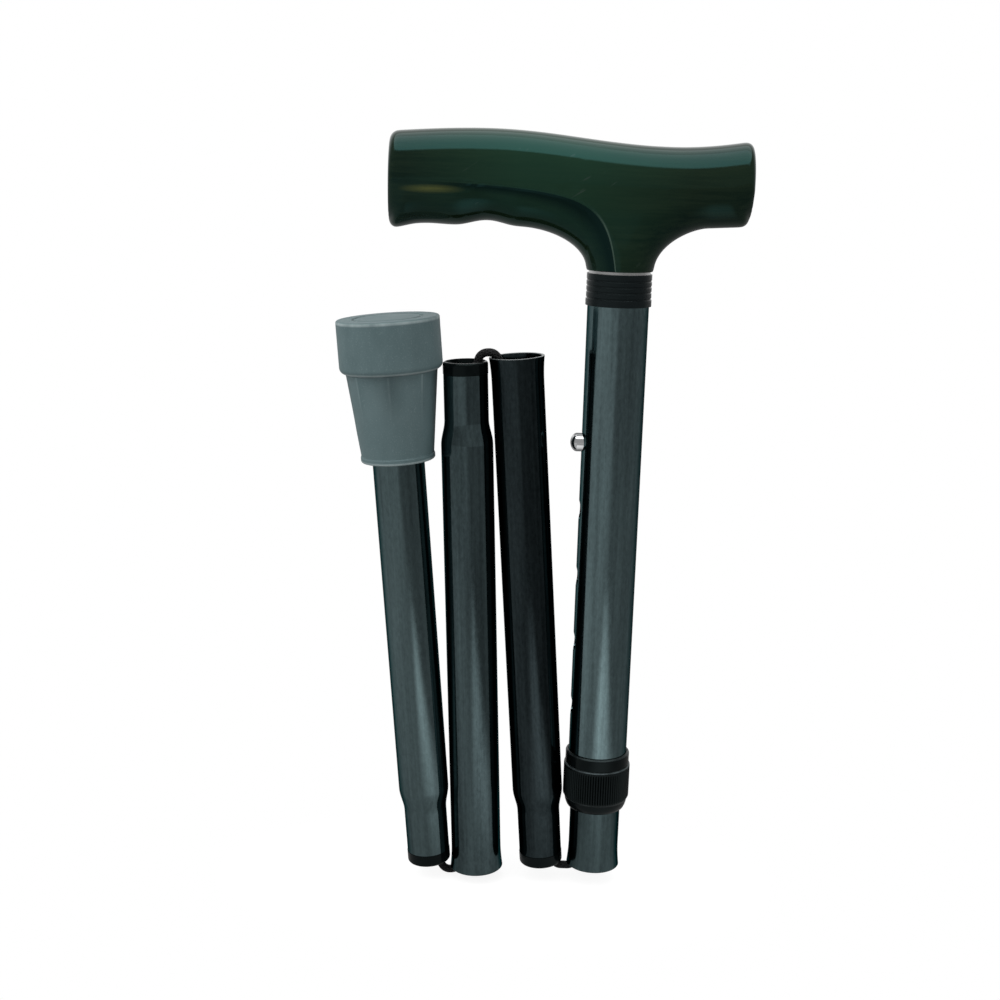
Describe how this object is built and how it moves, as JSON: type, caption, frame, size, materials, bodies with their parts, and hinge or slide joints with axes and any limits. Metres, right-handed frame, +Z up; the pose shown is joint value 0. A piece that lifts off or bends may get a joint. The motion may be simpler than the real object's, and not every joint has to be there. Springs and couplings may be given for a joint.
{
  "type": "folding walking cane",
  "caption": "Folded height-adjustable walking cane: tube sections on an elastic cord, finger-grip handle, snap button, lock nut and rubber tip.",
  "frame": {"origin": "middle of the grip, on the axis of the upper section", "axes": "+Z up along the upper section, +X towards the handle's short nose, +Y away from the side seen in the picture"},
  "size_m": [0.1455, 0.0374, 0.2826],
  "materials": {
    "handle_wood": "dark lacquer, glossy",
    "black_plastic": "satin moulded",
    "pale_plastic": "moulded",
    "steel": "plain",
    "tube_enamel": "dark slate enamel, glossy",
    "bright_chrome": "polished",
    "cord_black": "braided cover",
    "grey_rubber": "matt"
  },
  "bodies": {
    "upper_section": {"handle": "handle_wood", "handle_collar": "black_plastic", "handle_plug": "pale_plastic", "handle_screw": "steel", "outer_tube": "tube_enamel", "lock_bush": "black_plastic"},
    "lock_nut": {"lock_nut": "black_plastic"},
    "inner_section": {"inner_tube": "tube_enamel", "inner_cap": "pale_plastic", "button_spring": "steel", "cord_anchor": "pale_plastic", "cord_upper_knot": "cord_black", "cord_upper_run": "cord_black"},
    "snap_button": {"snap_button": "bright_chrome"},
    "lower_bend": {"cord_lower_bend": "cord_black"},
    "second_section": {"second_tube": "tube_enamel", "second_plug": "black_plastic", "cord_second_run": "cord_black"},
    "top_bend": {"cord_top_bend": "cord_black"},
    "third_section": {"third_tube": "tube_enamel", "third_plug": "black_plastic", "cord_third_run": "cord_black"},
    "foot_bend": {"cord_foot_bend": "cord_black"},
    "tip_section": {"tip_tube": "tube_enamel", "tip_plug": "black_plastic", "cord_tip_run": "cord_black", "cord_tip_knot": "cord_black", "tip_washer": "steel", "rubber_tip": "grey_rubber"}
  },
  "joints": [
    {"name": "lock_nut_turn", "type": "hinge", "parent": "upper_section", "child": "lock_nut", "pos_m": [0, 0, -0.223], "axis": [0, 0, 1], "range_deg": [0, 360]},
    {"name": "height_slide", "type": "slide", "parent": "upper_section", "child": "inner_section", "axis": [0, 0, -1], "range_m": [0, 0.1016], "deforming": ["snap_button"]},
    {"name": "button_press", "type": "slide", "parent": "inner_section", "child": "snap_button", "axis": [1, 0, 0], "range_m": [0, 0.0054], "stiffness_N_per_m": 1500, "deforming": ["button_spring"]},
    {"name": "fold_lower", "type": "hinge", "parent": "inner_section", "child": "lower_bend", "pos_m": [-0.01004, 0, -0.25786], "axis": [0, -1, 0], "range_deg": [0, 175.5], "deforming": ["cord_lower_bend"]},
    {"name": "seat_lower", "type": "slide", "parent": "lower_bend", "child": "second_section", "axis": [0.0785, 0, -0.9969], "range_m": [0, 0.0255]},
    {"name": "seat_top", "type": "slide", "parent": "second_section", "child": "top_bend", "axis": [0.0785, 0, -0.9969], "range_m": [0, 0.0255], "deforming": ["cord_top_bend"]},
    {"name": "fold_top", "type": "hinge", "parent": "top_bend", "child": "third_section", "pos_m": [-0.04482, 0, -0.06226], "axis": [0, 1, 0], "range_deg": [0, 178.1]},
    {"name": "seat_foot", "type": "slide", "parent": "third_section", "child": "foot_bend", "axis": [-0.0454, 0, 0.999], "range_m": [0, 0.0255], "deforming": ["cord_foot_bend"]},
    {"name": "fold_foot", "type": "hinge", "parent": "foot_bend", "child": "tip_section", "pos_m": [-0.05431, 0, -0.25975], "axis": [0, -1, 0], "range_deg": [0, 177.5]}
  ],
  "couplings": [
    {"joint": "fold_top", "follows": "fold_lower", "ratio": 1.0148},
    {"joint": "fold_foot", "follows": "fold_lower", "ratio": 1.0114},
    {"joint": "seat_top", "follows": "seat_lower", "ratio": 1},
    {"joint": "seat_foot", "follows": "seat_lower", "ratio": 1}
  ]
}
